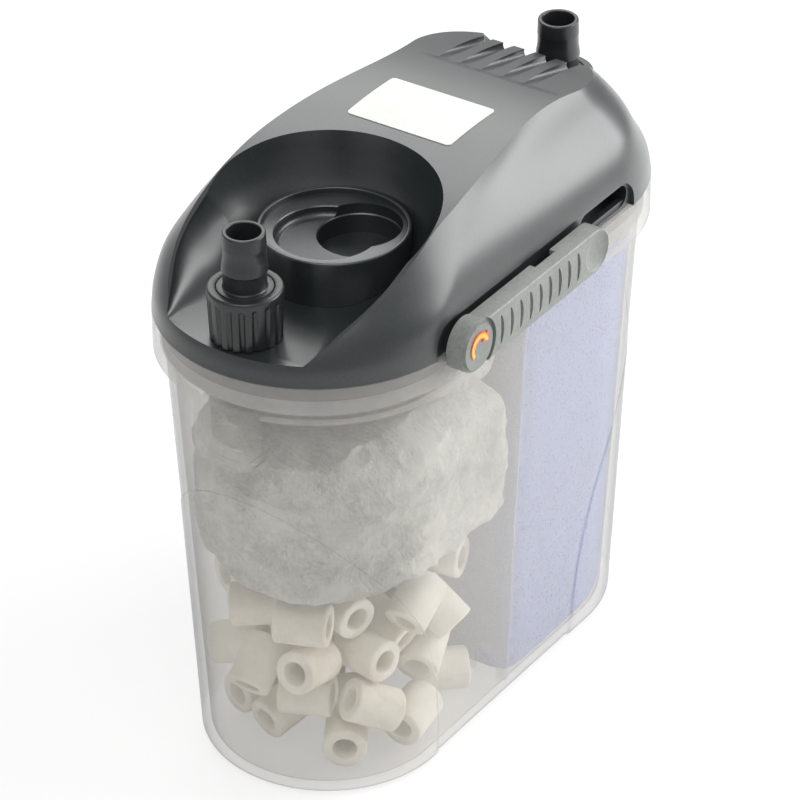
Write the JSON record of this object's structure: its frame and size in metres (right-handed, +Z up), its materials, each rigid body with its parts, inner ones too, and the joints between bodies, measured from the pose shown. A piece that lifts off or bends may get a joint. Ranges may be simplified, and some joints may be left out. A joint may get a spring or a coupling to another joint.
{
  "type": "canister filter",
  "caption": "Small canister filter: clear oval media canister, dark moulded pump head with a bowl, two hose nozzles and latch levers on both sides.",
  "frame": {"origin": "centre of the footprint, on the surface the canister stands on", "axes": "+X to the right across the canister, +Y to the rear along it with the inlet nozzle at the front, +Z up"},
  "size_m": [0.1198, 0.206, 0.2096],
  "materials": {
    "clear_plastic": "clear",
    "blue_foam": "matte",
    "ceramic": "matte",
    "wadding": "matte",
    "head_plastic": "satin",
    "silicone": "satin",
    "label": "matte",
    "rubber": "matte",
    "inner_plastic": "satin",
    "magnet": "satin",
    "impeller_plastic": "satin",
    "steel": "satin",
    "copper": "satin",
    "screw_steel": "satin",
    "lever_plastic": "satin",
    "arrow_orange": "satin"
  },
  "bodies": {
    "canister_body": {"canister": "clear_plastic", "divider": "clear_plastic", "sponge_block": "blue_foam", "ceramic_rings": "ceramic", "filter_wadding": "wadding", "wadding_top_pad": "wadding"},
    "pump_head": {"head_shell": "head_plastic", "bowl_ring": "head_plastic", "head_floor": "head_plastic", "head_gasket": "silicone", "rating_label": "label", "inlet_barb": "head_plastic", "outlet_barb": "head_plastic", "inlet_seal": "rubber", "outlet_seal": "rubber", "inlet_duct": "inner_plastic", "pump_housing": "inner_plastic", "impeller_cover": "inner_plastic", "shaft_bushes": "rubber", "rotor_shaft": "ceramic", "stator_core": "steel", "stator_coils": "copper", "floor_screws": "screw_steel", "cable_gland": "rubber", "pin_right": "screw_steel", "pin_left": "screw_steel"},
    "right_lever": {"lever_right": "lever_plastic", "arrow_right": "arrow_orange"},
    "left_lever": {"lever_left": "lever_plastic", "arrow_left": "arrow_orange"},
    "rotor": {"rotor_magnet": "magnet", "impeller": "impeller_plastic"},
    "front_nut": {"inlet_nut": "head_plastic"},
    "rear_nut": {"outlet_nut": "head_plastic"}
  },
  "joints": [
    {"name": "head_lift", "type": "slide", "parent": "canister_body", "child": "pump_head", "axis": [0, 0, 1], "range_m": [0, 0.05]},
    {"name": "right_latch", "type": "hinge", "parent": "pump_head", "child": "right_lever", "pos_m": [0.055, -0.0485, 0.1672], "axis": [-1, 0, 0], "range_deg": [0, 100]},
    {"name": "left_latch", "type": "hinge", "parent": "pump_head", "child": "left_lever", "pos_m": [-0.055, 0.0485, 0.1672], "axis": [1, 0, 0], "range_deg": [0, 100]},
    {"name": "rotor_spin", "type": "hinge", "parent": "pump_head", "child": "rotor", "pos_m": [0, 0.028, 0.18], "axis": [0, 0, 1], "continuous": true},
    {"name": "inlet_nut_turn", "type": "hinge", "parent": "pump_head", "child": "front_nut", "pos_m": [0, -0.089, 0.18], "axis": [0, 0, 1], "range_deg": [0, 360]},
    {"name": "outlet_nut_turn", "type": "hinge", "parent": "pump_head", "child": "rear_nut", "pos_m": [0, 0.0905, 0.175], "axis": [0, 0, 1], "range_deg": [0, 360]}
  ],
  "couplings": [
    {"joint": "right_latch", "follows": "head_lift", "rad_per_m": 34.907},
    {"joint": "left_latch", "follows": "head_lift", "rad_per_m": 34.907}
  ]
}
